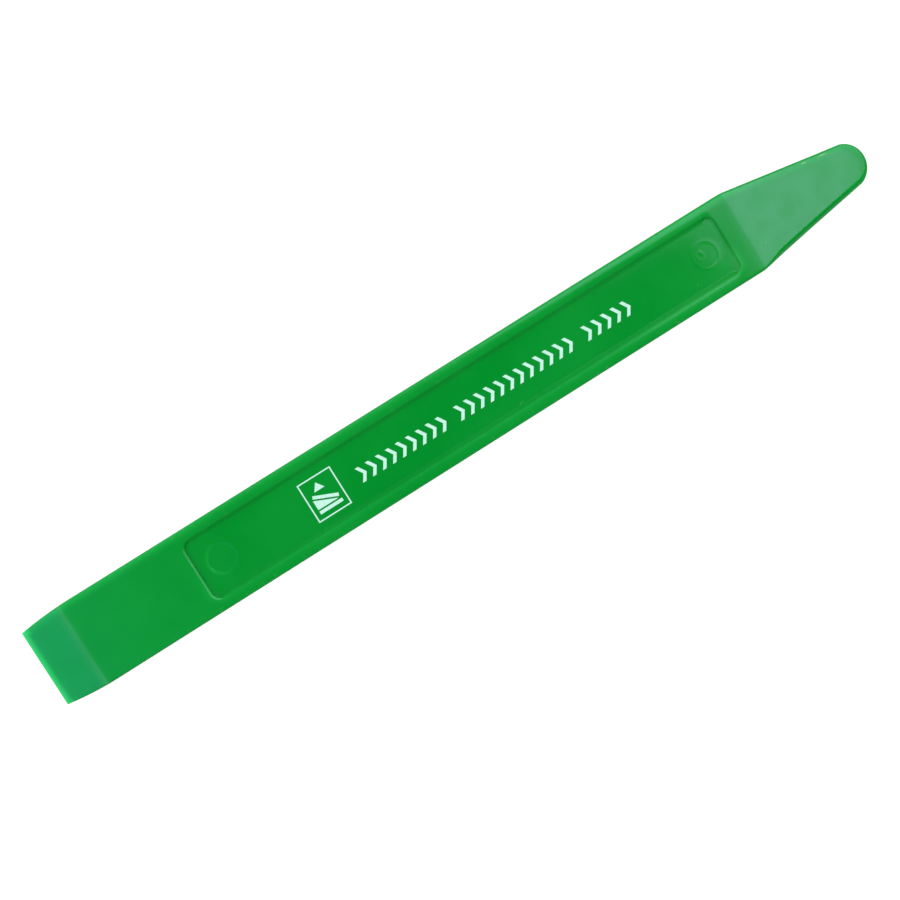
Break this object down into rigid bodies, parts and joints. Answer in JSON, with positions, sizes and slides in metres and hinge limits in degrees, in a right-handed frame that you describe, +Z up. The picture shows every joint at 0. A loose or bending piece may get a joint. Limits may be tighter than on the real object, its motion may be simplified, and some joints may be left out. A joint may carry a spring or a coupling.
{
  "type": "spudger tool",
  "caption": "Flat green plastic pry stick with a bevelled chisel end, a tapered round-tipped spatula end and a long shallow recess that carries a printed legend.",
  "frame": {"origin": "middle of the tool's underside, on the plane it lies on", "axes": "+X along the tool towards the round spatula tip, +Y across it, +Z up through the printed face"},
  "size_m": [0.2, 0.0186, 0.005],
  "materials": {
    "green_plastic": "satin moulded nylon or polypropylene, coloured through, slightly translucent where it thins to an edge",
    "white_ink": "matt white pad-printing ink, a thin film on the recess floor"
  },
  "bodies": {
    "root": {"tool_body": "green_plastic", "print_frame": "white_ink", "print_pictogram_base": "white_ink", "print_pictogram_wedge": "white_ink", "print_pictogram_lid": "white_ink", "print_pictogram_arrow": "white_ink", "print_chevron_01": "white_ink", "print_chevron_02": "white_ink", "print_chevron_03": "white_ink", "print_chevron_04": "white_ink", "print_chevron_05": "white_ink", "print_chevron_06": "white_ink", "print_chevron_07": "white_ink", "print_chevron_08": "white_ink", "print_chevron_09": "white_ink", "print_chevron_10": "white_ink", "print_chevron_11": "white_ink", "print_chevron_12": "white_ink", "print_chevron_13": "white_ink", "print_chevron_14": "white_ink", "print_chevron_15": "white_ink", "print_chevron_16": "white_ink", "print_chevron_17": "white_ink", "print_chevron_18": "white_ink", "print_chevron_19": "white_ink", "print_chevron_20": "white_ink", "print_chevron_21": "white_ink", "print_chevron_22": "white_ink", "print_chevron_23": "white_ink", "print_chevron_24": "white_ink", "print_chevron_25": "white_ink", "print_chevron_26": "white_ink"}
  },
  "joints": []
}
